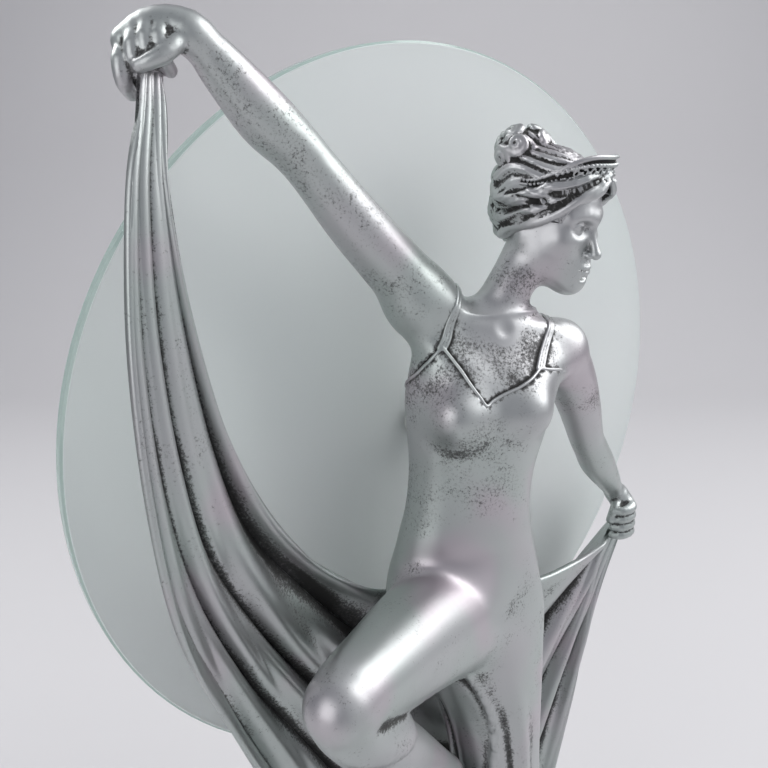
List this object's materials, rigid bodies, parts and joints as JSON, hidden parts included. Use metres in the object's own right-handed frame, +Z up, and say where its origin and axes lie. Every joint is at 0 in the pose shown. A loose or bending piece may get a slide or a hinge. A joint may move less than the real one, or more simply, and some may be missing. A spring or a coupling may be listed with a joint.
{
  "type": "table lamp",
  "caption": "Art deco table lamp: cast dancer holding a wide scarf in front of a round frosted glass disc, lit from behind by a small bulb, on a stepped plinth.",
  "frame": {"origin": "centre of the felt under the plinth, on the table", "axes": "+Z up, the front of the lamp faces -Y, +X to the right seen from the front"},
  "size_m": [0.25, 0.1576, 0.4086],
  "materials": {
    "silver_resin": "cast resin painted satin antique silver with a dark wash in the recesses",
    "frosted_glass": "frosted faces with a polished rim",
    "opal_glass": "opal white",
    "felt": "felt",
    "dark_steel": "matt black paint",
    "bright_steel": "zinc plated",
    "chromed_steel": "bright chrome",
    "black_rubber": "matt",
    "clear_rubber": "translucent silicone",
    "black_phenolic": "moulded phenolic",
    "white_ceramic": "glazed",
    "plated_brass": "nickel plated"
  },
  "bodies": {
    "lamp": {"base_felt": "felt", "bottom_plate": "dark_steel", "plate_screws": "bright_steel", "plinth": "silver_resin", "plinth_top": "silver_resin", "cord_grommet": "black_rubber", "stem_rod": "bright_steel", "stem_nut": "bright_steel", "stem_washer": "bright_steel", "stem_sleeve": "chromed_steel", "disc_bracket": "dark_steel", "holder_cap": "black_phenolic", "holder_skirt": "black_phenolic", "holder_insert": "white_ceramic", "contact_shell": "plated_brass", "centre_contact": "plated_brass", "glass_disc": "frosted_glass", "rear_washer": "clear_rubber", "front_washer": "clear_rubber", "clamp_bolt": "bright_steel", "statuette_body": "silver_resin", "raised_arm": "silver_resin", "lowered_arm": "silver_resin", "scarf": "silver_resin", "statuette_screws": "bright_steel"},
    "bulb": {"bulb_glass": "opal_glass", "bulb_cap": "plated_brass", "bulb_contact": "plated_brass"},
    "knob": {"clamp_knob": "chromed_steel"}
  },
  "joints": [
    {"name": "bulb_turn", "type": "hinge", "parent": "lamp", "child": "bulb", "pos_m": [0, 0.052, 0.26], "axis": [0, 0, 1], "continuous": true},
    {"name": "knob_turn", "type": "hinge", "parent": "lamp", "child": "knob", "pos_m": [0, 0.0095, 0.282], "axis": [0, -1, 0], "continuous": true}
  ]
}
